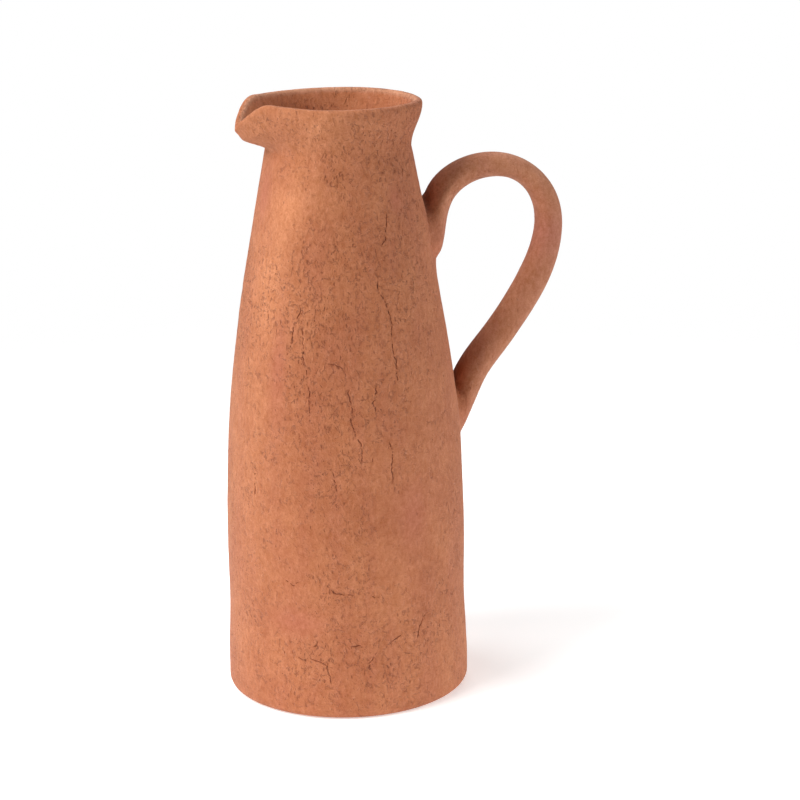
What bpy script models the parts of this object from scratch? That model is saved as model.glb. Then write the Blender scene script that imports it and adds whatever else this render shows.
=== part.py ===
"""A terracotta pitcher: a tapering wall on a round floor slab, a flared collar pinched into a pouring beak,
and a pulled handle set on the wall with two luting wads.

Metres, +Z up. The origin is the centre of the underside, on the body's own axis. The handle stands
towards +X and the beak points to -X, so the plane XZ divides the pitcher into two like halves.
"""

import math

import bpy
import numpy as np

# Driving dimensions
CREASE_HEIGHT = 0.3235  # the sharp crease where the collar stands on the wall
WALL_THICKNESS = 0.0065
GAP = 0.0003  # between pieces that touch

# Floor slab: a flange under the wall, and a raised disc that the wall fits around
FLANGE_THICKNESS = 0.005
SLAB_THICKNESS = 0.010
FOOT_ROUNDING = 0.0045

# Outer surface of the body as (radius, height), from the underside to the crease
BODY_OUTLINE = (
    (0.0717, 0.000),
    (0.0716, 0.020),
    (0.0704, 0.050),
    (0.0706, 0.085),
    (0.0697, 0.125),
    (0.0673, 0.165),
    (0.0627, 0.205),
    (0.0564, 0.245),
    (0.0493, 0.285),
    (0.0420, CREASE_HEIGHT),
)

# Collar: a tongue on the wall stands in a rebate inside the collar's lower edge
TONGUE_HEIGHT = 0.003
COLLAR_FLARE = 0.0068
LIP_RADIUS = 0.0025
BEAK_BULGE = 0.9  # the share of the beak's reach that its underside has at half its height

# Middle of the rounded lip: (degrees round from the beak's middle, radius, height)
LIP_LINE = (
    (0, 0.0574, 0.3358),
    (5, 0.0561, 0.3395),
    (10, 0.0545, 0.3425),
    (16, 0.0528, 0.3461),
    (23, 0.0504, 0.3493),
    (32, 0.0481, 0.3495),
    (45, 0.0466, 0.3490),
    (65, 0.0462, 0.3485),
    (90, 0.0457, 0.3484),
    (130, 0.0459, 0.3482),
    (180, 0.0460, 0.3476),
)

# Handle and its wads on one curve: (x, z, half thickness, half width), from the upper root to the lower
HANDLE_CURVE = (
    (0.0490, 0.2535, 0.0055, 0.0120),
    (0.0522, 0.2625, 0.0078, 0.0145),
    (0.0550, 0.2750, 0.0079, 0.0140),
    (0.0620, 0.2945, 0.0080, 0.0115),
    (0.0745, 0.3040, 0.0078, 0.0100),
    (0.0890, 0.3075, 0.0073, 0.0100),
    (0.1040, 0.3055, 0.0069, 0.0100),
    (0.1180, 0.2960, 0.0071, 0.0100),
    (0.1260, 0.2800, 0.0078, 0.0100),
    (0.1260, 0.2625, 0.0083, 0.0100),
    (0.1205, 0.2450, 0.0090, 0.0100),
    (0.1060, 0.2200, 0.0091, 0.0100),
    (0.0915, 0.2010, 0.0092, 0.0100),
    (0.0793, 0.1850, 0.0092, 0.0105),
    (0.0725, 0.1710, 0.0091, 0.0110),
    (0.0672, 0.1595, 0.0089, 0.0120),
    (0.0622, 0.1490, 0.0078, 0.0110),
    (0.0585, 0.1415, 0.0055, 0.0085),
)
UPPER_JOINT = 3  # the points of the curve where the handle meets its wads
LOWER_JOINT = 13
PEG_RADIUS = 0.0045  # round pegs on the handle's ends key it into the wads
PEG_LENGTH = 0.006
PEG_ROOT = 0.003  # how far a peg starts inside the handle

# Facets
BODY_SEGMENTS = 64
COLLAR_SEGMENTS = 72
COLLAR_CROWDING = 0.75  # draws the collar's facets together at the beak
HANDLE_SEGMENTS = 20
HANDLE_STEPS = 3
PEG_SEGMENTS = 16

# Linear colour, roughness of each piece's clay
CLAY = {
    "base_slab": ((0.42, 0.155, 0.075), 0.95),
    "body_wall": ((0.50, 0.180, 0.088), 0.93),
    "rim_collar": ((0.50, 0.185, 0.092), 0.92),
    "handle": ((0.42, 0.160, 0.092), 0.88),
    "upper_luting_wad": ((0.42, 0.150, 0.082), 0.90),
    "lower_luting_wad": ((0.44, 0.160, 0.090), 0.90),
}


def smooth_curve(points, steps):
    """The natural cubic spline through the points, with so many steps from each one to the next."""
    knots = np.array(points, dtype=float)
    spans = np.linalg.norm(np.diff(knots[:, :2], axis=0), axis=1)
    system = np.eye(len(knots))
    pull = np.zeros_like(knots)
    for i in range(1, len(knots) - 1):
        before, after = spans[i - 1 : i + 1]
        system[i, i - 1 : i + 2] = (before, 2 * (before + after), after)
        pull[i] = 6 * ((knots[i + 1] - knots[i]) / after - (knots[i] - knots[i - 1]) / before)
    bends = np.linalg.solve(system, pull)
    curve = []
    for i, span in enumerate(spans):
        for t in np.arange(steps) / steps:
            s = 1 - t
            bend = (s**3 - s) * bends[i] + (t**3 - t) * bends[i + 1]
            curve.append(s * knots[i] + t * knots[i + 1] + bend * span**2 / 6)
    curve.append(knots[-1])
    return np.array(curve)


def smoothstep(value, low, high):
    t = np.clip((value - low) / (high - low), 0, 1)
    return t * t * (3 - 2 * t)


def body_radius(height):
    radii, heights = smooth_curve(BODY_OUTLINE, 4).T
    return np.interp(height, heights, radii)


def circle(radius, height, segments):
    turns = np.linspace(0, 2 * math.pi, segments, endpoint=False)
    return [(radius * math.cos(a), radius * math.sin(a), height) for a in turns]


def solid(name, loops, ring=False):
    """A closed body over a row of closed loops, capped at both ends, or joined end to end as a ring."""
    count = len(loops[0])
    points = [tuple(point) for loop in loops for point in loop]
    faces = []
    for row in range(len(loops) if ring else len(loops) - 1):
        low = row * count
        high = (row + 1) % len(loops) * count
        for i in range(count):
            j = (i + 1) % count
            faces.append((low + i, low + j, high + j, high + i))
    if not ring:
        faces.append(tuple(reversed(range(count))))
        faces.append(tuple(range(len(points) - count, len(points))))
    mesh = bpy.data.meshes.new(name)
    mesh.from_pydata(points, [], faces)
    piece = bpy.data.objects.new(name, mesh)
    bpy.context.scene.collection.objects.link(piece)
    return piece


def finish(piece):
    """Gives a piece its clay, and smooth shading up to its sharp edges."""
    colour, roughness = CLAY[piece.name]
    clay = bpy.data.materials.new(piece.name + "_clay")
    clay.use_nodes = True
    shader = clay.node_tree.nodes["Principled BSDF"]
    shader.inputs["Base Color"].default_value = (*colour, 1.0)
    shader.inputs["Roughness"].default_value = roughness
    shader.inputs["Metallic"].default_value = 0.0
    piece.data.materials.append(clay)
    piece.data.shade_smooth()
    piece.data.set_sharp_from_angle(angle=math.radians(40))


def helper(piece):
    """Hides a cutter, or a body that is joined to another."""
    piece.hide_render = True
    piece.display_type = "WIRE"
    return piece


def boolean(piece, other, operation):
    modifier = piece.modifiers.new(other.name, "BOOLEAN")
    modifier.operation = operation
    modifier.object = other


def base_slab():
    """The clay floor, rolled flat and rounded at its lower edge."""
    foot = body_radius(FLANGE_THICKNESS)
    disc = body_radius(0) - WALL_THICKNESS - GAP
    loops = []
    for degrees in (-90, -60, -30, 0):
        out = FOOT_ROUNDING * (math.cos(math.radians(degrees)) - 1)
        up = FOOT_ROUNDING * (math.sin(math.radians(degrees)) + 1)
        loops.append(circle(foot + out, up, BODY_SEGMENTS))
    loops.append(circle(foot, FLANGE_THICKNESS, BODY_SEGMENTS))
    loops.append(circle(disc, FLANGE_THICKNESS, BODY_SEGMENTS))
    loops.append(circle(disc, SLAB_THICKNESS, BODY_SEGMENTS))
    finish(solid("base_slab", loops))


def turned(section, angles):
    """Loops of one (radius, height) section at each angle about the Z axis."""
    return [
        [(r * math.cos(angle), r * math.sin(angle), z) for r, z in section(angle)]
        for angle in angles
    ]


def wall_section(_angle):
    bottom = FLANGE_THICKNESS + GAP
    heights = np.append(np.linspace(bottom, 0.1, 5), np.linspace(0.12, CREASE_HEIGHT, 11))
    neck = body_radius(CREASE_HEIGHT)
    outer = [(body_radius(z), z) for z in heights]
    inner = [(r - WALL_THICKNESS, z) for r, z in outer[-2::-1]]
    tongue = neck - WALL_THICKNESS / 2 - GAP
    top = CREASE_HEIGHT + TONGUE_HEIGHT
    step = [(tongue, CREASE_HEIGHT), (tongue, top), (neck - WALL_THICKNESS, top)]
    return outer + step + inner


def body_wall():
    """The thrown wall: a ring on the slab that narrows to the neck."""
    angles = np.linspace(0, 2 * math.pi, BODY_SEGMENTS, endpoint=False)
    finish(solid("body_wall", turned(wall_section, reversed(angles)), ring=True))


def collar_section(angle):
    """The collar's section at an angle about Z; the beak's middle is at -X."""
    away = abs(math.degrees(angle) - 180)
    turns, radii, heights = smooth_curve(LIP_LINE, 4).T
    lip_centre = np.interp(away, turns, radii)
    lip = np.interp(away, turns, heights)
    neck = body_radius(CREASE_HEIGHT)
    beak = lip_centre + LIP_RADIUS - neck - COLLAR_FLARE
    seat = CREASE_HEIGHT + GAP
    inner_seat = seat + TONGUE_HEIGHT

    section = []
    for t in np.linspace(0, 1, 9):
        reach = BEAK_BULGE * smoothstep(t, 0, 0.55) + (1 - BEAK_BULGE) * smoothstep(t, 0.75, 1)
        section.append((neck + COLLAR_FLARE * smoothstep(t, 0, 1) + beak * reach, seat + (lip - seat) * t))
    for a in np.radians((36, 72, 108, 144)):
        section.append((lip_centre + LIP_RADIUS * math.cos(a), lip + LIP_RADIUS * math.sin(a)))
    for t in np.linspace(1, 0, 6):
        inside = lip_centre - LIP_RADIUS - (neck - WALL_THICKNESS)
        section.append((neck - WALL_THICKNESS + inside * t, inner_seat + (lip - inner_seat) * t))
    section.append((neck - WALL_THICKNESS / 2, inner_seat))
    section.append((neck - WALL_THICKNESS / 2, seat))
    return section


def rim_collar():
    """The flared collar with its rounded lip, pinched into a drooping beak."""
    turns = np.linspace(-math.pi, math.pi, COLLAR_SEGMENTS, endpoint=False)
    angles = turns - COLLAR_CROWDING * np.sin(turns) + math.pi
    finish(solid("rim_collar", turned(collar_section, reversed(angles)), ring=True))


def handle_frames(first, last, start_gap=0.0, end_gap=0.0):
    """(centre, tangent, half thickness, half width) along a stretch of the handle's curve."""
    curve = smooth_curve(HANDLE_CURVE, HANDLE_STEPS)
    tangents = np.gradient(curve[:, :2], axis=0)
    tangents /= np.linalg.norm(tangents, axis=1)[:, None]
    rows = slice(first * HANDLE_STEPS, last * HANDLE_STEPS + 1)
    centres = curve[rows, :2].copy()
    tangents = tangents[rows]
    centres[0] += tangents[0] * start_gap
    centres[-1] -= tangents[-1] * end_gap
    return list(zip(centres, tangents, curve[rows, 2], curve[rows, 3]))


def oval(centre, tangent, thick, wide, segments):
    """An oval loop about a point of the plane XZ, square to the tangent there."""
    turns = np.linspace(0, 2 * math.pi, segments, endpoint=False)
    normal = np.array((tangent[1], -tangent[0]))
    loop = []
    for a in turns:
        x, z = centre + normal * thick * math.cos(a)
        loop.append((x, wide * math.sin(a), z))
    return loop


def rod(name, frames, segments=HANDLE_SEGMENTS):
    return solid(name, [oval(*frame, segments) for frame in frames])


def peg(name, frame, sign, clearance):
    """A round peg that leaves the frame's point along its tangent, or against it."""
    centre, tangent = frame[:2]
    radius = PEG_RADIUS + clearance
    ends = sorted((-PEG_ROOT * sign, (PEG_LENGTH + clearance) * sign))
    frames = [(centre + tangent * end, tangent, radius, radius) for end in ends]
    return helper(rod(name, frames, PEG_SEGMENTS))


def handle_and_wads():
    """The handle's bow, with a peg at each end, and the two wads that lute it to the wall."""
    last = len(HANDLE_CURVE) - 1
    bow_frames = handle_frames(UPPER_JOINT, LOWER_JOINT, GAP, GAP)
    handle = rod("handle", bow_frames)
    upper_wad = rod("upper_luting_wad", handle_frames(0, UPPER_JOINT))
    lower_wad = rod("lower_luting_wad", handle_frames(LOWER_JOINT, last))

    heights = np.linspace(0.12, 0.32, 21)
    rounds = [circle(body_radius(z) + GAP, z, BODY_SEGMENTS) for z in heights]
    wall_cutter = helper(solid("wall_cutter", rounds))
    for wad, frame, sign in ((upper_wad, bow_frames[0], -1), (lower_wad, bow_frames[-1], 1)):
        boolean(handle, peg(wad.name + "_peg", frame, sign, 0.0), "UNION")
        boolean(wad, wall_cutter, "DIFFERENCE")
        boolean(wad, peg(wad.name + "_socket", frame, sign, GAP), "DIFFERENCE")
    for piece in (handle, upper_wad, lower_wad):
        finish(piece)


def main():
    for obj in list(bpy.data.objects):
        bpy.data.objects.remove(obj)
    base_slab()
    body_wall()
    rim_collar()
    handle_and_wads()


main()
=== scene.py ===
"""Looks of the terracotta pitcher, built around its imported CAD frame.

Each clay piece of the frame is replaced by a finely sculpted skin of the same size. All the skins take their
unevenness and their colour from where a point is in space, so that the clay runs on from piece to piece as on
a pitcher that was fired whole. Metres, +Z up, the handle towards +X and the beak towards -X.
"""

import itertools
import math

import bmesh
import bpy
import numpy as np
from mathutils import Matrix, Vector
from mathutils.kdtree import KDTree


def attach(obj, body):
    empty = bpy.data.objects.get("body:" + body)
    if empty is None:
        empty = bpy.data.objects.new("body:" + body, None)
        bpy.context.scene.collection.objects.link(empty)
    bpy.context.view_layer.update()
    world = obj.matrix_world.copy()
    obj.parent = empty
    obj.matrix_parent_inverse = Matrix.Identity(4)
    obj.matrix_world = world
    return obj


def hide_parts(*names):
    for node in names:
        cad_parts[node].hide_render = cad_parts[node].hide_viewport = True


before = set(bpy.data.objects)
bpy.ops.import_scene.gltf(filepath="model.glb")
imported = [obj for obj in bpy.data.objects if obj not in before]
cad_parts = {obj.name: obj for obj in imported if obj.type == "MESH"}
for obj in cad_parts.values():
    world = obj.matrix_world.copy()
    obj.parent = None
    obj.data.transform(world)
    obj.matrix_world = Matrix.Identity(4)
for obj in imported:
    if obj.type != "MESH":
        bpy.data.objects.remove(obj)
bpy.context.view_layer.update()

MM = 0.001

# The body, as in the CAD model
CREASE_HEIGHT = 0.3235
FLANGE_THICKNESS = 0.005
SLAB_THICKNESS = 0.010
WALL_THICKNESS = 0.0065
TONGUE_HEIGHT = 0.003
FOOT_ROUNDING = 0.0045
BODY_OUTLINE = (
    (0.0717, 0.000),
    (0.0716, 0.020),
    (0.0704, 0.050),
    (0.0706, 0.085),
    (0.0697, 0.125),
    (0.0673, 0.165),
    (0.0627, 0.205),
    (0.0564, 0.245),
    (0.0493, 0.285),
    (0.0420, CREASE_HEIGHT),
)

# The collar and its rounded lip, whose middle line is (degrees round from the beak's middle, radius, height)
COLLAR_FLARE = 0.0068
LIP_RADIUS = 0.0025
BEAK_BULGE = 0.9  # the share of the beak's reach that its underside has at half its height
LIP_LINE = (
    (0, 0.0574, 0.3358),
    (5, 0.0561, 0.3395),
    (10, 0.0545, 0.3425),
    (16, 0.0528, 0.3461),
    (23, 0.0504, 0.3493),
    (32, 0.0481, 0.3495),
    (45, 0.0466, 0.3490),
    (65, 0.0462, 0.3485),
    (90, 0.0457, 0.3484),
    (130, 0.0459, 0.3482),
    (180, 0.0460, 0.3476),
)

# The handle and its roots on one curve: (x, z, half thickness, half width), from the upper root to the lower
HANDLE_CURVE = (
    (0.0490, 0.2535, 0.0055, 0.0120),
    (0.0522, 0.2625, 0.0078, 0.0145),
    (0.0550, 0.2750, 0.0079, 0.0140),
    (0.0620, 0.2945, 0.0080, 0.0115),
    (0.0745, 0.3040, 0.0078, 0.0100),
    (0.0890, 0.3075, 0.0073, 0.0100),
    (0.1040, 0.3055, 0.0069, 0.0100),
    (0.1180, 0.2960, 0.0071, 0.0100),
    (0.1260, 0.2800, 0.0078, 0.0100),
    (0.1260, 0.2625, 0.0083, 0.0100),
    (0.1205, 0.2450, 0.0090, 0.0100),
    (0.1060, 0.2200, 0.0091, 0.0100),
    (0.0915, 0.2010, 0.0092, 0.0100),
    (0.0793, 0.1850, 0.0092, 0.0105),
    (0.0725, 0.1710, 0.0091, 0.0110),
    (0.0672, 0.1595, 0.0089, 0.0120),
    (0.0622, 0.1490, 0.0078, 0.0110),
    (0.0585, 0.1415, 0.0055, 0.0085),
)
UPPER_JOINT = 3
LOWER_JOINT = 13
UPPER_FILLET = (0.0030, 0.0220)  # where a root meets the wall: along the handle's plane, and out to the sides
LOWER_FILLET = (0.0020, 0.0060)
ROOT_DEPTH = 0.003  # how deep in the wall the hidden side of a root stops
ROOT_FADE = 1.5  # the knots of the handle's curve over which a root's fillet fades in from its hidden end
FILLET_PASSES = 10

# Clay smeared up to the roots: (height of its middle, thickness, reach up and down)
MOUNDS = ((0.270, 0.0070, 0.012), (0.160, 0.0010, 0.022))
MOUND_WIDTH = 0.020

# Mesh density
WALL_COLUMNS = 232
WALL_ROWS = 162
INNER_WALL_ROWS = 30
COLLAR_COLUMNS = 520
COLLAR_CROWDING = 0.72  # how much closer the collar's columns stand at the beak
COLLAR_ROWS = 34
INNER_COLLAR_ROWS = 30
LIP_ROWS = 15
SLAB_RINGS = 34
FOOT_ROWS = 8
CAP_RADIUS = 0.001
HANDLE_STEPS = 22
HANDLE_SEGMENTS = 72
FINEST_FACE = 0.00032
REFINE_PASSES = 3
REFINE_REACH = 0.25 * MM

# A crack's jags as (reach, length) in mm, the mm of crack from one side crack to the next, and how many short
# hairlines the torn zones hold
JAGS = ((0.9, 5.0), (0.5, 2.0), (0.34, 0.9))
TWIG_SPACING = 7.0
HAIRLINES = 120
CRACK_DEPTH = 0.50 * MM
CRACK_STRENGTH = 1.15
TWIG_STRENGTH = 0.65
HAIRLINE_STRENGTH = 0.60
CRACK_GAPS = -0.30  # a long crack has fewer gaps than the others, whose value is 0

# Drag cracks that the potter's rib left in the wall: (azimuth in degrees, height in mm) from end to end
CRACKS = (
    ((-128, 250), (-127.5, 239), (-131, 228), (-134, 213)),
    ((-127, 239), (-125, 222), (-123.5, 209), (-121, 199), (-120, 175)),
    ((-82, 263), (-82, 250), (-77, 243), (-75, 234), (-76, 218), (-74, 196)),
    ((-112, 211), (-106, 209.5), (-102, 203)),
    ((-101, 197), (-99.5, 185), (-100, 178), (-96, 166), (-95, 153)),
    ((-86.5, 199), (-87, 191), (-89, 188), (-87, 182)),
    ((-81, 166), (-80, 157), (-81, 139)),
    ((-152, 148), (-152, 129)),
    ((-110, 150), (-107, 136)),
    ((-69, 292), (-71, 285), (-74, 277), (-78, 273)),
    ((-126, 42), (-119, 44), (-118, 48)),
    ((-129, 37), (-124, 35), (-122, 38), (-113, 33)),
    ((-90, 41), (-94, 34), (-93, 28)),
    ((-103, 44.5), (-96, 45.5)),
    ((-63, 59), (-67, 54), (-69.5, 44)),
    ((-83, 45), (-77, 49.5)),
    ((-135, 84), (-130, 80), (-126, 83)),
    ((-113, 82), (-109, 77), (-101, 77)),
    ((-94, 78), (-91, 74), (-86, 73)),
    ((-118, 335), (-122, 331)),
    ((-125, 321), (-122, 319)),
    ((-113, 38.5), (-114, 32), (-111, 22)),
)

# Where the clay was torn rather than burnished: (azimuth in degrees, height in mm, spread)
ROUGH_ZONES = (
    (-127, 235, 34),
    (-78, 262, 24),
    (-100, 190, 34),
    (-112, 40, 18),
    (-88, 34, 14),
    (-68, 50, 16),
    (-58, 320, 28),
    (-84, 334, 15),
    (-104, 316, 9),
    (-105, 82, 14),
    (70, 210, 40),
    (130, 90, 34),
    (100, 290, 26),
    (20, 60, 26),
    (175, 230, 30),
)

# Where a wet thumb smoothed the clay to a rosy skin, and where the colour is lightened as painted highlight
# on the sides that face the lamps:
# (azimuth in degrees, height in mm, half width in degrees, half height in mm)
RUBBED_ZONES = (
    (-128, 58, 14, 8),
    (-61, 298, 6, 8),
    (-6, 266, 24, 15),
    (-140, 205, 5, 26),
    (-70, 120, 9, 20),
    (4, 158, 18, 12),
    (120, 150, 16, 22),
    (-170, 300, 9, 14),
)
# Painted highlight: lighter patches on the sides of the pitcher that face the lamps
PAINTED_HIGHLIGHT_ZONES = (
    (-112, 338, 42, 16),
    (-152, 245, 15, 44),
    (-138, 300, 14, 20),
    (60, 240, 26, 60),
    (150, 330, 24, 16),
)


def smooth_curve(points, steps):
    """The natural cubic spline through the points, with so many steps from each one to the next."""
    knots = np.array(points, dtype=float)
    spans = np.linalg.norm(np.diff(knots[:, :2], axis=0), axis=1)
    system = np.eye(len(knots))
    pull = np.zeros_like(knots)
    for i in range(1, len(knots) - 1):
        before, after = spans[i - 1 : i + 1]
        system[i, i - 1 : i + 2] = (before, 2 * (before + after), after)
        pull[i] = 6 * ((knots[i + 1] - knots[i]) / after - (knots[i] - knots[i - 1]) / before)
    bends = np.linalg.solve(system, pull)
    curve = []
    for i, span in enumerate(spans):
        for t in np.arange(steps) / steps:
            s = 1 - t
            bend = (s**3 - s) * bends[i] + (t**3 - t) * bends[i + 1]
            curve.append(s * knots[i] + t * knots[i + 1] + bend * span**2 / 6)
    curve.append(knots[-1])
    return np.array(curve)


OUTLINE_RADII, OUTLINE_HEIGHTS = smooth_curve(BODY_OUTLINE, 24).T
LIP_TURNS, LIP_RADII, LIP_HEIGHTS = smooth_curve(LIP_LINE, 12).T


def body_radius(height):
    """The radius of the wall's outer side at a height."""
    return np.interp(height, OUTLINE_HEIGHTS, OUTLINE_RADII)


def noise(points, size, seed):
    """Smooth lumps about one size across, from -1 to 1."""
    cells = points / size + 13.7 * seed
    low = np.floor(cells)
    ease = cells - low
    ease = ease * ease * (3 - 2 * ease)
    total = np.zeros(len(points))
    for corner in itertools.product((0, 1), repeat=3):
        weight = np.prod(np.where(corner, ease, 1 - ease), axis=1)
        hashed = np.sin((low + corner) @ np.array((127.1, 311.7, 74.7))) * 43758.5453
        total += weight * (hashed - np.floor(hashed))
    return 2 * total - 1


def hump(distance, width):
    """1 at no distance, falling away smoothly over the width."""
    return np.exp(-((distance / width) ** 2))


def smoothstep(value, low, high):
    """0 below low, 1 above high, smooth between."""
    t = np.clip((value - low) / (high - low), 0, 1)
    return t * t * (3 - 2 * t)


# ---------------------------------------------------------------- meshes


def skin(name, loops, ring=False):
    """A closed body over a row of closed loops, capped at both ends, or joined end to end as a ring."""
    loops = np.array(loops)
    rows, count = loops.shape[:2]
    low = np.arange(rows if ring else rows - 1)[:, None] * count
    high = (low + count) % (rows * count)
    i = np.arange(count)[None, :]
    j = (i + 1) % count
    faces = np.stack([low + i, low + j, high + j, high + i], axis=-1).reshape(-1, 4).tolist()
    if not ring:
        faces.append(list(range(count))[::-1])
        faces.append(list(range((rows - 1) * count, rows * count)))
    mesh = bpy.data.meshes.new(name)
    mesh.from_pydata(loops.reshape(-1, 3).tolist(), [], faces)
    piece = bpy.data.objects.new(name, mesh)
    bpy.context.scene.collection.objects.link(piece)
    return piece


def points_of(mesh):
    points = np.empty(len(mesh.vertices) * 3)
    mesh.vertices.foreach_get("co", points)
    return points.reshape(-1, 3)


def normals_of(mesh):
    normals = np.empty(len(mesh.vertices) * 3)
    mesh.vertex_normals.foreach_get("vector", normals)
    return normals.reshape(-1, 3)


def set_points(mesh, points):
    mesh.vertices.foreach_set("co", points.ravel())
    mesh.update()


def set_field(mesh, name, values):
    """Stores one number for each vertex, for the clay's shader to read."""
    field = mesh.attributes.new(name, "FLOAT", "POINT")
    field.data.foreach_set("value", np.asarray(values, dtype=np.float32))


# ---------------------------------------------------------------- marks in the clay


class Marks:
    """Cracks and pits as a cloud of points, each with a half width and a depth in metres."""

    def __init__(self):
        self.points = []
        self.widths = []
        self.depths = []

    def add(self, points, widths, depths):
        self.points.extend(points)
        self.widths.extend(np.broadcast_to(widths, len(points)))
        self.depths.extend(np.broadcast_to(depths, len(points)))

    def tree(self):
        tree = KDTree(len(self.points))
        for index, point in enumerate(self.points):
            tree.insert(point, index)
        tree.balance()
        return tree

    def depth_at(self, points):
        """(depth, darkness) of the nearest mark at each point, with the small ridge that it throws up; the
        darkness is painted shade, stronger where the mark is deeper.
        """
        tree = self.tree()
        found = [tree.find(point)[1:] for point in points]
        nearest = np.array([index for index, _ in found])
        away = np.array([distance for _, distance in found])
        widths = np.array(self.widths)[nearest]
        depths = np.array(self.depths)[nearest]
        cut = np.exp(-((away / widths) ** 2))
        ridge = 0.22 * np.exp(-(((away - 2.2 * widths) / widths) ** 2))
        return depths * (cut - ridge), cut * np.clip(depths / CRACK_DEPTH, 0, 1)


def on_wall(azimuth, height):
    """Points on the wall's outer side, from degrees and metres."""
    turn = np.radians(azimuth)
    radius = body_radius(height)
    return np.stack([radius * np.cos(turn), radius * np.sin(turn), height * np.ones_like(turn)], axis=-1)


def wander(points, seed):
    """A jagged random offset, in metres, that changes along a crack."""
    return sum(share * MM * noise(points, size * MM, seed + size) for share, size in JAGS)


def crack_points(path, spacing=0.2 * MM):
    """A crack's points on the wall, wandering about the straight lines of its path."""
    azimuths, heights = np.array(path, dtype=float).T
    heights = heights * MM
    run = np.hypot(np.diff(np.radians(azimuths)) * body_radius(heights[:-1]), np.diff(heights))
    along = np.concatenate([[0], np.cumsum(run)])
    places = np.arange(0, along[-1], spacing)
    azimuth = np.interp(places, along, azimuths)
    height = np.interp(places, along, heights)
    track = on_wall(azimuth, height)
    azimuth = azimuth + np.degrees(wander(track, 1) / body_radius(height))
    return on_wall(azimuth, height + 0.8 * wander(track, 3)), places


def twigs(path, rng):
    """Short side cracks that leave a crack at random places."""
    azimuths, heights = np.array(path, dtype=float).T
    for _ in range(int(np.ptp(heights) // TWIG_SPACING)):
        share = rng.uniform(0.05, 0.95) * (len(path) - 1)
        azimuth = np.interp(share, np.arange(len(path)), azimuths)
        height = np.interp(share, np.arange(len(path)), heights)
        yield ((azimuth, height), (azimuth + rng.uniform(-4, 4), height + rng.uniform(-5, 2)))


def hairlines(rng):
    """Short fine cracks of any lean, but most of them upright, scattered over the torn zones."""
    for _ in range(HAIRLINES):
        at, level, spread = ROUGH_ZONES[rng.integers(len(ROUGH_ZONES))]
        azimuth = at + rng.normal(0, 0.5 * spread)
        height = np.clip(level + rng.normal(0, 0.55 * spread), 12, 316)
        lean = rng.normal(0, 0.8)
        length = rng.uniform(2, 8)
        aside = np.degrees(length * math.sin(lean) * MM / body_radius(height * MM))
        yield ((azimuth, height), (azimuth + aside, height - length * math.cos(lean)))


def add_cracks(marks):
    """Adds the cracks, their side cracks and the hairlines, each broken by gaps and tapered at its ends."""
    rng = np.random.default_rng(7)
    lines = [(path, CRACK_STRENGTH, CRACK_GAPS) for path in CRACKS]
    lines += [(twig, TWIG_STRENGTH, 0.0) for path in CRACKS for twig in twigs(path, rng)]
    lines += [(hairline, HAIRLINE_STRENGTH, 0.0) for hairline in hairlines(rng)]
    for line, strength, gaps in lines:
        points, places = crack_points(line)
        taper = smoothstep(np.minimum(places, places[-1] - places), -1 * MM, 3 * MM)
        beads = noise(points, 3.1 * MM, 5) + 1.2 * noise(points, 0.9 * MM, 8)
        broken = smoothstep(beads, gaps - 0.65, gaps + 0.65)
        depths = CRACK_DEPTH * strength * taper * broken
        widths = (0.20 + 0.09 * noise(points, 2 * MM, 6) + 0.06 * noise(points, 0.7 * MM, 9)) * MM
        widths = widths * (0.6 + 0.7 * strength)
        marks.add(points, widths, depths)


# ---------------------------------------------------------------- wall, collar and slab


def wall_skin():
    """The wall's outer side, the tongue that the collar sits around, and the inner side down to the slab."""
    angles = np.linspace(0, 2 * math.pi, WALL_COLUMNS, endpoint=False)
    heights = np.linspace(FLANGE_THICKNESS, CREASE_HEIGHT, WALL_ROWS)
    inner_heights = np.linspace(CREASE_HEIGHT + TONGUE_HEIGHT, SLAB_THICKNESS, INNER_WALL_ROWS)
    neck = body_radius(CREASE_HEIGHT)
    section = [(body_radius(z), z) for z in heights]
    section.append((neck - WALL_THICKNESS / 2, CREASE_HEIGHT))
    section.append((neck - WALL_THICKNESS / 2, CREASE_HEIGHT + TONGUE_HEIGHT))
    section += [(body_radius(min(z, CREASE_HEIGHT)) - WALL_THICKNESS, z) for z in inner_heights]
    section.append((body_radius(0) - WALL_THICKNESS, FLANGE_THICKNESS))
    return turned_skin("wall_skin", section, angles)


def turned_skin(name, section, angles):
    """A closed section of (radius, height) points turned about the pitcher's axis."""
    radii, heights = np.array(section).T
    turns = np.array(angles)[::-1, None]
    loops = np.stack([radii * np.cos(turns), radii * np.sin(turns), heights + 0 * turns], axis=-1)
    return skin(name, loops, ring=True)


def collar_loops():
    """The collar's upright sections all the way round, closer together at the beak."""
    turns = np.linspace(-math.pi, math.pi, COLLAR_COLUMNS, endpoint=False)
    angles = turns - COLLAR_CROWDING * np.sin(turns) + math.pi
    return [collar_loop(angle) for angle in angles[::-1]]


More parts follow.
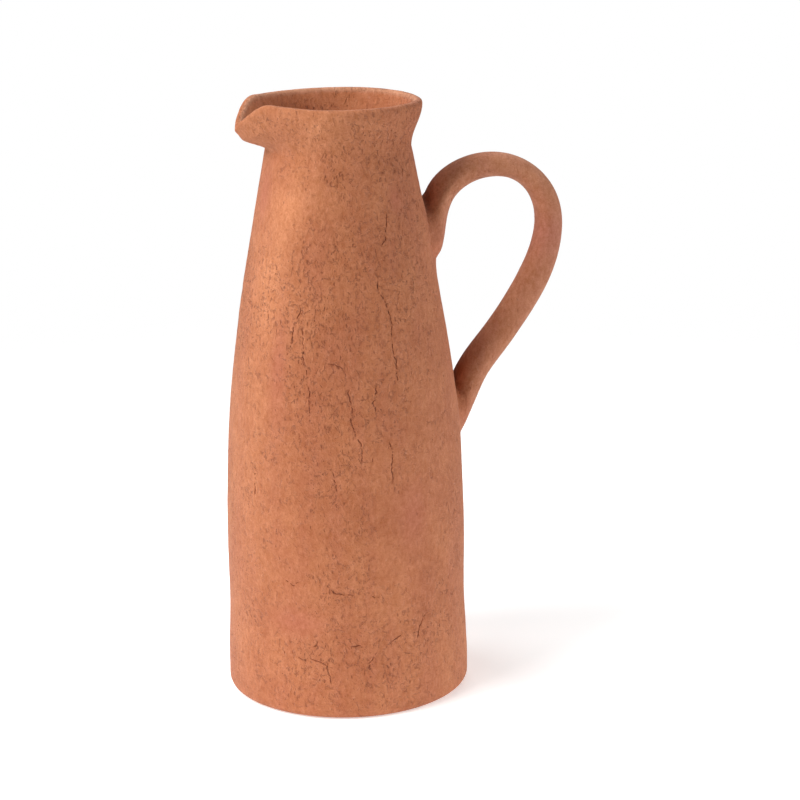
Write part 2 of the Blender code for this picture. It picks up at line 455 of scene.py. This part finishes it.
def collar_loop(angle):
    """One upright section of the collar, closed, at an angle about Z; the beak's middle is at -X."""
    away = abs(math.degrees(angle) - 180)
    lip_centre = np.interp(away, LIP_TURNS, LIP_RADII)
    lip = np.interp(away, LIP_TURNS, LIP_HEIGHTS)
    neck = body_radius(CREASE_HEIGHT)
    beak = lip_centre + LIP_RADIUS - neck - COLLAR_FLARE
    inner_seat = CREASE_HEIGHT + TONGUE_HEIGHT
    inner_neck = neck - WALL_THICKNESS

    t = np.linspace(0, 1, COLLAR_ROWS)
    reach = BEAK_BULGE * smoothstep(t, 0, 0.55) + (1 - BEAK_BULGE) * smoothstep(t, 0.75, 1)
    flare = COLLAR_FLARE * smoothstep(t, 0, 1) + beak * reach
    outer = np.stack([neck + flare, CREASE_HEIGHT + (lip - CREASE_HEIGHT) * t])
    a = np.radians(np.linspace(0, 180, LIP_ROWS))[1:-1]
    top = np.stack([lip_centre + LIP_RADIUS * np.cos(a), lip + LIP_RADIUS * np.sin(a)])
    t = np.linspace(1, 0, INNER_COLLAR_ROWS)
    inside = lip_centre - LIP_RADIUS - inner_neck
    inner = np.stack([inner_neck + inside * t, inner_seat + (lip - inner_seat) * t])
    seat = np.array([[neck - WALL_THICKNESS / 2] * 2, [inner_seat, CREASE_HEIGHT]])
    radii, heights = np.concatenate([outer, top, inner, seat], axis=1)
    return np.stack([radii * math.cos(angle), radii * math.sin(angle), heights], axis=-1)


def slab_skin():
    """The foot's flat underside, its rounded edge, and the floor inside."""
    turns = np.linspace(0, 2 * math.pi, WALL_COLUMNS, endpoint=False)
    foot = body_radius(FLANGE_THICKNESS)
    flat = foot - FOOT_ROUNDING
    disc = body_radius(0) - WALL_THICKNESS
    profile = [(r, 0.0) for r in np.linspace(CAP_RADIUS, flat, SLAB_RINGS)]
    for a in np.radians(np.linspace(-90, 0, FOOT_ROWS))[1:]:
        profile.append((flat + FOOT_ROUNDING * math.cos(a), FOOT_ROUNDING * (1 + math.sin(a))))
    profile += [(foot, FLANGE_THICKNESS), (disc, FLANGE_THICKNESS), (disc, SLAB_THICKNESS)]
    profile += [(r, SLAB_THICKNESS) for r in np.linspace(disc - CAP_RADIUS, CAP_RADIUS, SLAB_RINGS)]
    loops = [[(r * math.cos(a), r * math.sin(a), z) for a in turns] for r, z in profile]
    return skin("slab_skin", loops)


# ---------------------------------------------------------------- handle and roots


def body_distance(points):
    """Distance outside the wall's outer side, and the wall's normal there."""
    radius = np.hypot(points[:, 0], points[:, 1])
    heights = points[:, 2]
    slope = (body_radius(heights + MM) - body_radius(heights - MM)) / (2 * MM)
    lean = 1 / np.sqrt(1 + slope * slope)
    outward = points[:, :2] / radius[:, None] * lean[:, None]
    normals = np.column_stack([outward, -slope * lean])
    return (radius - body_radius(heights)) * lean, normals


def bare_handle(curve):
    """Loops along the handle without its fillets, and the normals there."""
    tangents = np.gradient(curve[:, :2], axis=0)
    tangents /= np.linalg.norm(tangents, axis=1)[:, None]
    turns = np.linspace(0, 2 * math.pi, HANDLE_SEGMENTS, endpoint=False)
    across = np.column_stack([tangents[:, 1], -tangents[:, 0]])
    thick = curve[:, 2, None] * np.cos(turns)
    wide = curve[:, 3, None] * np.sin(turns)
    x = curve[:, 0, None] + across[:, 0, None] * thick
    z = curve[:, 1, None] + across[:, 1, None] * thick
    loops = np.stack([x, wide, z], axis=-1)

    out_thick = np.cos(turns) * curve[:, 3, None]
    out_wide = np.sin(turns) * curve[:, 2, None]
    normals = np.stack([across[:, 0, None] * out_thick, out_wide, across[:, 1, None] * out_thick], axis=-1)
    normals /= np.linalg.norm(normals, axis=-1)[..., None]
    return loops, normals


def handle_loops():
    """Loops along the whole handle, its roots spread onto the wall with a fillet."""
    curve = smooth_curve(HANDLE_CURVE, HANDLE_STEPS)
    loops, normals = bare_handle(curve)
    points = loops.reshape(-1, 3)
    outward = normals.reshape(-1, 3)
    upper = np.repeat(np.arange(len(curve)) < len(curve) // 2, HANDLE_SEGMENTS)
    along, aside = np.where(upper[:, None], UPPER_FILLET, LOWER_FILLET).T
    rows = np.arange(len(curve)) / HANDLE_STEPS
    # The fade never reaches 0, because the fillet's size is divided by
    fade = 0.02 + 0.98 * smoothstep(np.minimum(rows, rows[::-1]), 0, ROOT_FADE)
    fillet = (along + (aside - along) * outward[:, 1] ** 2) * np.repeat(fade, HANDLE_SEGMENTS)
    swell = np.zeros(len(points))
    for _ in range(FILLET_PASSES):
        distance = body_distance(points + outward * swell[:, None])[0]
        near = np.clip(1 - distance / fillet, 0, 1)
        swell = 0.5 * swell + 0.5 * fillet * (1 - np.sqrt(1 - near * near))
    points = points + outward * swell[:, None]
    distance, wall_normals = body_distance(points)
    sunk = np.maximum(-ROOT_DEPTH - distance, 0)
    points = points + wall_normals * sunk[:, None]
    return points.reshape(loops.shape)


# ---------------------------------------------------------------- sculpting


JOINT_REACH = 0.09  # every point of a joint is nearer than this to the joint's middle


def unevenness(points):
    """How far the clay stands proud at each point: hand-made waviness down to coarse grain."""
    height = 0.38 * MM * noise(points, 46 * MM, 21)
    height += 0.16 * MM * noise(points, 17 * MM, 22)
    height += 0.07 * MM * noise(points, 6 * MM, 23)
    height += 0.035 * MM * noise(points, 2.6 * MM, 24)
    return height


def torn_zones(points):
    """How rough the surface is, from 0 where it was burnished to 1 where it was torn."""
    azimuth = np.degrees(np.arctan2(points[:, 1], points[:, 0]))
    height = points[:, 2] / MM
    total = 0.28 + 0.25 * noise(points, 40 * MM, 31)
    for at, level, spread in ROUGH_ZONES:
        turn = (azimuth - at + 180) % 360 - 180
        total = total + 0.75 * hump(np.hypot(turn * 1.1, height - level), spread)
    return np.clip(total, 0, 1)


def refine(piece, marks):
    """Splits the faces near a mark into quarters, so that the mark has real depth."""
    tree = marks.tree()
    mesh = bmesh.new()
    mesh.from_mesh(piece.data)
    edges = set()
    for face in mesh.faces:
        size = math.sqrt(face.calc_area())
        if size > FINEST_FACE and tree.find(face.calc_center_median())[2] < REFINE_REACH + 0.6 * size:
            edges.update(face.edges)
    bmesh.ops.subdivide_edges(mesh, edges=list(edges), cuts=1, use_grid_fill=True)
    mesh.to_mesh(piece.data)
    mesh.free()


def level_normals(points, normals):
    """Turns the normals at the pieces' joints into the joint's plane, so that both sides move alike."""
    for centre, axis in joint_planes():
        away = points - centre
        here = (np.abs(away @ axis) < 0.02 * MM) & (np.linalg.norm(away, axis=1) < JOINT_REACH)
        level = normals[here] - (normals[here] @ axis)[:, None] * axis
        normals[here] = level / np.linalg.norm(level, axis=1)[:, None]
    return normals


def joint_planes():
    """(point, axis) of the plane that each joint between two pieces lies in."""
    up = np.array((0, 0, 1.0))
    for height in (FLANGE_THICKNESS, CREASE_HEIGHT, CREASE_HEIGHT + TONGUE_HEIGHT):
        yield up * height, up
    curve = smooth_curve(HANDLE_CURVE, HANDLE_STEPS)[:, :2]
    tangents = np.gradient(curve, axis=0)
    for joint in (UPPER_JOINT * HANDLE_STEPS, LOWER_JOINT * HANDLE_STEPS):
        (x, z), (along, rise) = curve[joint], tangents[joint] / np.linalg.norm(tangents[joint])
        yield np.array((x, 0, z)), np.array((along, 0, rise))


def scatter_pits(marks, mesh, count, seed, zones):
    """Small pits and short upright dashes, more of them where the clay is torn."""
    rng = np.random.default_rng(seed)
    points = points_of(mesh)
    chance = zones ** 2 + 0.02
    chosen = points[rng.choice(len(points), count, replace=False, p=chance / chance.sum())]
    for point in chosen:
        width = rng.uniform(0.16, 0.36) * MM
        depth = rng.uniform(0.15, 0.42) * MM
        length = rng.choice((0.0, 0.8, 1.6, 3.0)) * MM
        steps = np.arange(-length / 2, length / 2 + 0.1 * MM, 0.25 * MM)[:, None]
        track = point + steps * np.array((0, 0, 1))
        track[:, :2] += 0.4 * MM * noise(track, 1.5 * MM, seed)[:, None] * (length > 0)
        marks.add(track, width, depth)


def patches(points, zones):
    """1 in the middle of each zone of the wall, fading to 0 outside them all."""
    azimuth = np.degrees(np.arctan2(points[:, 1], points[:, 0]))
    total = np.zeros(len(points))
    for at, level, wide, high in zones:
        turn = (azimuth - at + 180) % 360 - 180
        total = total + hump(np.hypot(turn / wide, (points[:, 2] / MM - level) / high), 1)
    return np.clip(total, 0, 1)


def mounds(points):
    """The height of the clay that is smeared up to the handle's roots."""
    total = np.zeros(len(points))
    for height, thickness, reach in MOUNDS:
        away = np.hypot(points[:, 1] / MOUND_WIDTH, (points[:, 2] - height) / reach)
        total += thickness * hump(away, 1) * (points[:, 0] > 0)
    return total


def painted_lip_highlight(points):
    """1 along the top of the lip, where a pale line of painted highlight runs, and 0 elsewhere."""
    away = np.abs(np.degrees(np.arctan2(points[:, 1], -points[:, 0])))
    above = points[:, 2] - np.interp(away, LIP_TURNS, LIP_HEIGHTS)
    inward = np.interp(away, LIP_TURNS, LIP_RADII) - np.hypot(points[:, 0], points[:, 1])
    # The highlight is painted strongest where the lip's surface faces up and inwards, along (0.6, 0.8)
    edge = hump((0.6 * above + 0.8 * inward) / LIP_RADIUS - 1.0, 0.35)
    return edge * smoothstep(above, -0.6 * LIP_RADIUS, 0.4 * LIP_RADIUS)


def store_fields(mesh, points, zones, dark):
    """Stores what the clay's shader reads at each point."""
    set_field(mesh, "torn", zones)
    # Painted shade in the cracks and pits, darker where they are deeper
    set_field(mesh, "dark", dark)
    # Painted highlight along the top of the lip
    set_field(mesh, "lip_highlight", painted_lip_highlight(points))
    set_field(mesh, "rubbed", patches(points, RUBBED_ZONES))
    # Painted highlight on the sides that face the lamps
    set_field(mesh, "painted_highlight", patches(points, PAINTED_HIGHLIGHT_ZONES) * (0.7 + 0.3 * noise(points, 11 * MM, 33)))
    set_field(mesh, "rod", smoothstep(body_distance(points)[0], 2 * MM, 14 * MM) * (points[:, 0] > 0.05))


def sculpt(piece, pits, seed, cracks=False, calm=1.0):
    """Gives a smooth skin its unevenness, cracks and pits, and stores what the shader needs."""
    zones = torn_zones(points_of(piece.data)) * calm
    marks = Marks()
    if cracks:
        add_cracks(marks)
    scatter_pits(marks, piece.data, pits, seed, zones)
    for _ in range(REFINE_PASSES):
        refine(piece, marks)
    mesh = piece.data
    points = points_of(mesh)
    normals = level_normals(points, normals_of(mesh))
    outside = np.einsum("ij,ij->i", normals[:, :2], points[:, :2]) > 0
    zones = torn_zones(points) * calm
    depth, dark = marks.depth_at(points)
    rise = unevenness(points) * (0.6 + 0.4 * zones) - depth
    rise += zones * 0.10 * MM * noise(points, 3.2 * MM, 25)
    if piece.name == "wall_skin":
        rise += mounds(points) * outside
    lifted = smoothstep(points[:, 2], 0.0, 2 * MM)  # the foot stays flat on the floor
    store_fields(mesh, points, zones, dark * lifted)
    set_points(mesh, points + normals * (rise * lifted)[:, None])
    mesh.shade_smooth()
    mesh.set_sharp_from_angle(angle=math.radians(65))


# ---------------------------------------------------------------- clay


MIX_COLOURS = (6, 7)  # the two colour inputs of a Mix node, among its inputs for every kind of data
MIX_RESULT = 2


class Tree:
    """Short forms for the shader nodes of one material."""

    def __init__(self, material):
        material.use_nodes = True
        self.nodes = material.node_tree.nodes
        self.links = material.node_tree.links
        self.shader = self.nodes["Principled BSDF"]
        self.place = self.nodes.new("ShaderNodeTexCoord").outputs["Object"]

    def feed(self, socket, value):
        if isinstance(value, bpy.types.NodeSocket):
            self.links.new(value, socket)
        else:
            socket.default_value = value

    def math(self, operation, a, b=0.0, clamp=False):
        node = self.nodes.new("ShaderNodeMath")
        node.operation = operation
        node.use_clamp = clamp
        self.feed(node.inputs[0], a)
        self.feed(node.inputs[1], b)
        return node.outputs[0]

    def weighted(self, *pairs):
        """The sum of each value times its weight."""
        total = self.math("MULTIPLY", *pairs[0])
        for value, weight in pairs[1:]:
            total = self.math("ADD", total, self.math("MULTIPLY", value, weight))
        return total

    def stretch(self, scale):
        """The place on the object with its three axes scaled, which stretches a texture the other way."""
        node = self.nodes.new("ShaderNodeMapping")
        node.inputs["Scale"].default_value = scale
        self.links.new(self.place, node.inputs["Vector"])
        return node.outputs[0]

    def noise(self, size, detail=3.0, roughness=0.5, place=None):
        """Noise from 0 to 1 with lumps of one size, in metres."""
        node = self.nodes.new("ShaderNodeTexNoise")
        self.links.new(place or self.place, node.inputs["Vector"])
        node.inputs["Scale"].default_value = 1 / size
        node.inputs["Detail"].default_value = detail
        node.inputs["Roughness"].default_value = roughness
        return node.outputs["Fac"]

    def channel(self, colour):
        """The first channel of a colour."""
        node = self.nodes.new("ShaderNodeSeparateColor")
        self.links.new(colour, node.inputs[0])
        return node.outputs[0]

    def band(self, value, low, high):
        """0 below low, 1 above high, smooth between; turned round where low is over high."""
        node = self.nodes.new("ShaderNodeMapRange")
        node.interpolation_type = "SMOOTHSTEP"
        self.feed(node.inputs["Value"], value)
        if low < high:
            node.inputs["From Min"].default_value = low
            node.inputs["From Max"].default_value = high
            return node.outputs[0]
        node.inputs["From Min"].default_value = high
        node.inputs["From Max"].default_value = low
        node.inputs["To Min"].default_value = 1.0
        node.inputs["To Max"].default_value = 0.0
        return node.outputs[0]

    def field(self, name):
        node = self.nodes.new("ShaderNodeAttribute")
        node.attribute_name = name
        return node.outputs["Fac"]

    def blend(self, share, a, b, mode="MIX"):
        node = self.nodes.new("ShaderNodeMix")
        node.data_type = "RGBA"
        node.blend_type = mode
        self.feed(node.inputs[0], share)
        for socket, colour in zip(MIX_COLOURS, (a, b)):
            self.feed(node.inputs[socket], colour)
        return node.outputs[MIX_RESULT]


ORANGE = (0.490, 0.172, 0.072, 1)
BRICK = (0.435, 0.142, 0.058, 1)
ROSE = (0.425, 0.132, 0.068, 1)
PALE = (0.600, 0.290, 0.170, 1)
# The painted highlight's colour, that of the clay's lit side
PAINTED_HIGHLIGHT = (0.680, 0.262, 0.116, 1)
# Painted shade in the pores, dashes and hair cracks
PAINTED_PORE_SHADE = (0.290, 0.060, 0.017, 1)
# Painted shade in the cracks and pits
PAINTED_GROOVE_SHADE = (0.205, 0.040, 0.012, 1)
SHADE_GAINS = (0.85, 1.35, 2.00)  # a dark grain is redder than a pale one
TORN_TINT = (0.960, 0.945, 0.940, 1)
ROD_TINT = (0.990, 1.120, 1.330, 1)  # the pulled handle is greyer than the thrown wall
# The patches' fields, shares and colours: painted highlight on the lamp sides, the rosy rubbed skin, and
# painted highlight along the lip in the dust's pale colour
PATCH_COLOURS = (("painted_highlight", 0.80, PAINTED_HIGHLIGHT), ("rubbed", 0.80, ROSE), ("lip_highlight", 0.65, PALE))

# How far across, in metres, the clay's lumps of tone and of grain are
BLOTCH_SIZE = 0.045
STREAK_SIZE = 0.010
PATCH_SIZE = 0.0090
DUST_SIZE = 0.0024
MOTTLE_SIZE = 0.0022
GRAIN_SIZE = 0.0010

# Small marks as speckle takes them, and a net of hair cracks as crazing takes it
DASHES = (0.0028, 0.42, 0.14, 0.80)
DOTS = (0.0017, 0.80, 0.13, 0.60)
FAINT_DASHES = (0.0040, 0.45, 0.07, 0.60)
HAIR_NET = (0.0036, 0.10, 0.50)


def speckle(tree, size, stretch, reach, share):
    """Scattered small marks of one size, ragged at their edges, in a share of all the places for them."""
    cells = tree.nodes.new("ShaderNodeTexVoronoi")
    tree.links.new(tree.stretch((1, 1, stretch)), cells.inputs["Vector"])
    cells.inputs["Scale"].default_value = 1 / size
    ragged = tree.math("ADD", cells.outputs["Distance"], tree.math("MULTIPLY", tree.noise(size / 3, 2), 0.22))
    marks = tree.band(ragged, reach + 0.16, reach + 0.06)
    chosen = tree.math("LESS_THAN", tree.channel(cells.outputs["Color"]), share)
    return tree.math("MULTIPLY", marks, chosen)


def crazing(tree, size, width, kept):
    """A net of fine cracks one size apart, as wide as a share of it, with gaps where a noise is low."""
    wobble = tree.nodes.new("ShaderNodeTexNoise")
    tree.links.new(tree.place, wobble.inputs["Vector"])
    wobble.inputs["Scale"].default_value = 2 / size
    wobble.inputs["Detail"].default_value = 3.0
    bent = tree.nodes.new("ShaderNodeVectorMath")
    bent.operation = "MULTIPLY_ADD"
    tree.links.new(wobble.outputs["Color"], bent.inputs[0])
    bent.inputs[1].default_value = (0.9 * size, 0.9 * size, 0.9 * size)
    tree.links.new(tree.stretch((1, 1, 0.6)), bent.inputs[2])
    cells = tree.nodes.new("ShaderNodeTexVoronoi")
    cells.feature = "DISTANCE_TO_EDGE"
    tree.links.new(bent.outputs[0], cells.inputs["Vector"])
    cells.inputs["Scale"].default_value = 1 / size
    lines = tree.band(cells.outputs["Distance"], width, 0.2 * width)
    return tree.math("MULTIPLY", lines, tree.band(tree.noise(size * 0.7, 3, 0.6), kept, kept + 0.10))


def tone(tree):
    """The clay's colour: blotches, streaks and dust, and the patches that the mesh holds, painted highlight
    among them.
    """
    blotch = tree.band(tree.noise(BLOTCH_SIZE, 5, 0.6), 0.38, 0.64)
    streak = tree.band(tree.noise(STREAK_SIZE, 3, 0.5, tree.stretch((1, 1, 0.16))), 0.40, 0.66)
    dust = tree.band(tree.noise(DUST_SIZE, 3, 0.7), 0.58, 0.78)
    colour = tree.blend(blotch, BRICK, ORANGE)
    colour = tree.blend(tree.math("MULTIPLY", streak, 0.25), colour, ROSE)
    colour = tree.blend(tree.math("MULTIPLY", dust, 0.35), colour, PALE)
    colour = tree.blend(tree.field("torn"), colour, tree.blend(1.0, colour, TORN_TINT, "MULTIPLY"))
    for name, share, patch in PATCH_COLOURS:
        colour = tree.blend(tree.math("MULTIPLY", tree.field(name), share), colour, patch)
    return colour


def shaded(tree, colour, fine, mottle):
    """The colour with the grain's light and dark in it, and the handle's own tint."""
    patch = tree.noise(PATCH_SIZE, 3, 0.6)
    shade = tree.math("ADD", tree.weighted((fine, 0.55), (mottle, 0.75), (patch, 0.35)), 0.20)
    depth = tree.nodes.new("ShaderNodeCombineColor")
    for channel, gain in enumerate(SHADE_GAINS):
        level = tree.math("ADD", tree.math("MULTIPLY", shade, gain), 1 - gain)
        tree.links.new(level, depth.inputs[channel])
    colour = tree.blend(1.0, colour, depth.outputs[0], "MULTIPLY")
    return tree.blend(tree.field("rod"), colour, tree.blend(1.0, colour, ROD_TINT, "MULTIPLY"))


def pore_mask(tree, share):
    """Pores, dashes and hair cracks, most of them where the clay is torn and not rubbed; the colour paints
    shade into them.
    """
    rough_clay = tree.math("SUBTRACT", tree.field("torn"), tree.field("rubbed"), clamp=True)
    wanted = tree.math("ADD", tree.noise(0.012, 3, 0.6), tree.math("MULTIPLY", rough_clay, 0.40))
    wanted = tree.band(wanted, 0.48, 0.80)
    dashes = tree.math("MULTIPLY", speckle(tree, *DASHES), wanted)
    dots = tree.math("MULTIPLY", speckle(tree, *DOTS), wanted)
    hairs = tree.math("MULTIPLY", crazing(tree, *HAIR_NET), tree.math("MULTIPLY", wanted, 0.6))
    faint = tree.math("MULTIPLY", speckle(tree, *FAINT_DASHES), 0.6)
    holes = tree.math("MAXIMUM", tree.math("MAXIMUM", dashes, dots), tree.math("MAXIMUM", hairs, faint))
    return tree.math("MULTIPLY", holes, share, clamp=True)


def marked(tree, colour, fine, holes):
    """The colour with painted shade in the pores and darker painted shade in the grooves of the cracks and
    pits.
    """
    # Painted shade in the pores, dashes and hair cracks
    colour = tree.blend(tree.math("MULTIPLY", holes, 0.55), colour, PAINTED_PORE_SHADE)
    # Painted shade in the cracks and pits, with a little grain in it
    grooves = tree.math("ADD", tree.field("dark"), tree.math("MULTIPLY", fine, 0.3))
    grooves = tree.math("MULTIPLY", tree.band(grooves, 0.26, 0.80), 0.75)
    return tree.blend(grooves, colour, PAINTED_GROOVE_SHADE)


def relief(tree, fine, mottle, holes, grain):
    """The normal that grain and pores give the clay, calmer where it was rubbed."""
    height = tree.weighted((fine, 0.60 * grain), (mottle, 1.1 * grain))
    height = tree.math("MULTIPLY", height, tree.band(tree.field("rubbed"), 1.6, 0.0))
    height = tree.math("SUBTRACT", height, tree.math("MULTIPLY", holes, 1.2))
    bump = tree.nodes.new("ShaderNodeBump")
    bump.inputs["Strength"].default_value = 0.9
    bump.inputs["Distance"].default_value = 0.75 * MM
    tree.links.new(height, bump.inputs["Height"])
    return bump.outputs[0]


def clay(name, pores=1.0, grain=1.0):
    """Unglazed fired clay, with a share of its pores and of its grain."""
    material = bpy.data.materials.new(name)
    tree = Tree(material)
    fine = tree.noise(GRAIN_SIZE, 3, 0.7)
    mottle = tree.noise(MOTTLE_SIZE, 4, 0.65, tree.stretch((1, 1, 0.6)))
    holes = pore_mask(tree, pores)
    colour = marked(tree, shaded(tree, tone(tree), fine, mottle), fine, holes)
    rough = tree.math("ADD", tree.math("MULTIPLY", fine, 0.10), 0.80)
    tree.links.new(colour, tree.shader.inputs["Base Color"])
    tree.links.new(rough, tree.shader.inputs["Roughness"])
    tree.links.new(relief(tree, fine, mottle, holes, grain), tree.shader.inputs["Normal"])
    tree.shader.inputs["Metallic"].default_value = 0.0
    tree.shader.inputs["Specular IOR Level"].default_value = 0.35
    tree.shader.inputs["Sheen Weight"].default_value = 0.08
    tree.shader.inputs["Sheen Roughness"].default_value = 0.5
    return material


# ---------------------------------------------------------------- stage


FLOOR_REACH = 0.9
FLOOR_SOLID = 0.35  # the floor is opaque this far out, and fades from there to its reach
FLOOR_GLOW = 0.38
STUDIO_FILL = 0.03
LAMP_SIZE = 1.3
LAMP_DISTANCE = 2.2
LAMP_AIM = 0.175  # the height that the lamps look at

# Soft round lamps: (degrees to the camera's right seen from above, degrees up, watts)
LAMPS = (
    (-150, 45, 43.0),
    (-120, 12, 17.0),
    (0, 12, 32.0),
    (150, 45, 16.0),
    (80, 50, 10.0),
)

CAMERA_TURN = math.radians(15)  # how far the handle is turned away from the camera
CAMERA_SIDE = 0.0334
CAMERA_DISTANCE = 1.368
CAMERA_HEIGHT = 0.554
CAMERA_PITCH = math.radians(15.6)
CAMERA_ROLL = math.radians(-0.82)
CAMERA_LENS = 108.5


def pale_floor():
    """A pale floor that fades into the white surround."""
    mesh = bpy.data.meshes.new("floor")
    corners = [(x * FLOOR_REACH, y * FLOOR_REACH, 0) for x, y in ((-1, -1), (1, -1), (1, 1), (-1, 1))]
    mesh.from_pydata(corners, [], [(0, 1, 2, 3)])
    floor = bpy.data.objects.new("floor", mesh)
    bpy.context.scene.collection.objects.link(floor)
    material = bpy.data.materials.new("pale_floor")
    tree = Tree(material)
    tree.shader.inputs["Base Color"].default_value = (0.93, 0.93, 0.93, 1)
    tree.shader.inputs["Roughness"].default_value = 0.9
    tree.shader.inputs["Specular IOR Level"].default_value = 0.0
    tree.shader.inputs["Emission Color"].default_value = (1, 1, 1, 1)
    tree.shader.inputs["Emission Strength"].default_value = FLOOR_GLOW
    away = tree.nodes.new("ShaderNodeVectorMath")
    away.operation = "LENGTH"
    tree.links.new(tree.place, away.inputs[0])
    tree.links.new(tree.band(away.outputs["Value"], FLOOR_REACH, FLOOR_SOLID), tree.shader.inputs["Alpha"])
    mesh.materials.append(material)


def soft_lamp(turn, rise, power):
    """A round lamp that looks at the pitcher's middle."""
    data = bpy.data.lights.new("lamp", "AREA")
    data.shape = "DISK"
    data.size = LAMP_SIZE
    data.energy = power
    lamp = bpy.data.objects.new("lamp", data)
    side = math.radians(turn) - CAMERA_TURN
    up = math.radians(rise)
    away = Vector((math.cos(up) * math.cos(side), math.cos(up) * math.sin(side), math.sin(up)))
    lamp.location = Vector((0, 0, LAMP_AIM)) + LAMP_DISTANCE * away
    lamp.rotation_euler = away.to_track_quat("Z", "Y").to_euler()
    bpy.context.scene.collection.objects.link(lamp)


def white_surround():
    """A world that looks white, and lights the scene only a little."""
    world = bpy.data.worlds.new("surround")
    world.use_nodes = True
    nodes = world.node_tree.nodes
    background = nodes["Background"]
    background.inputs["Color"].default_value = (1, 1, 1, 1)
    seen = nodes.new("ShaderNodeLightPath").outputs["Is Camera Ray"]
    strength = nodes.new("ShaderNodeMath")
    strength.operation = "MAXIMUM"
    strength.inputs[1].default_value = STUDIO_FILL
    world.node_tree.links.new(seen, strength.inputs[0])
    world.node_tree.links.new(strength.outputs[0], background.inputs["Strength"])
    bpy.context.scene.world = world


def main_camera():
    """The camera of the main view, a little above the pitcher and looking down on it."""
    data = bpy.data.cameras.new("camera")
    data.lens = CAMERA_LENS
    data.sensor_width = 36.0
    camera = bpy.data.objects.new("camera", data)
    bpy.context.scene.collection.objects.link(camera)
    turn = Matrix.Rotation(-CAMERA_TURN, 4, "Z")
    step_back = Matrix.Translation((CAMERA_SIDE, -CAMERA_DISTANCE, CAMERA_HEIGHT))
    tilt = Matrix.Rotation(math.pi / 2 - CAMERA_PITCH, 4, "X")
    roll = Matrix.Rotation(CAMERA_ROLL, 4, "Z")
    camera.matrix_world = turn @ step_back @ tilt @ roll
    bpy.context.scene.camera = camera


def place(piece, node, slot, material):
    """Gives a piece its clay and puts it in the stead of its CAD node."""
    piece.data.materials.append(material)
    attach(piece, "root")
    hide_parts(node)


def main():
    wall = wall_skin()
    sculpt(wall, 220, 41, cracks=True)
    place(wall, "body_wall", "wall_clay", clay("wall_clay"))

    slab = slab_skin()
    sculpt(slab, 40, 42, calm=0.6)
    place(slab, "base_slab", "base_clay", clay("base_clay"))

    collar = skin("collar_skin", collar_loops(), ring=True)
    sculpt(collar, 170, 43)
    place(collar, "rim_collar", "collar_clay", clay("collar_clay"))

    loops = handle_loops()
    upper = UPPER_JOINT * HANDLE_STEPS
    lower = LOWER_JOINT * HANDLE_STEPS
    for name, node, slot, part in (
        ("upper_root_skin", "upper_luting_wad", "upper_wad_clay", loops[: upper + 1]),
        ("handle_skin", "handle", "handle_clay", loops[upper : lower + 1]),
        ("lower_root_skin", "lower_luting_wad", "lower_wad_clay", loops[lower:]),
    ):
        piece = skin(name, part)
        sculpt(piece, 20, 44, calm=0.35)
        place(piece, node, slot, clay(slot, pores=0.6, grain=0.8))

    pale_floor()
    white_surround()
    for lamp in LAMPS:
        soft_lamp(*lamp)
    main_camera()
    bpy.context.scene.view_settings.view_transform = "Standard"


main()
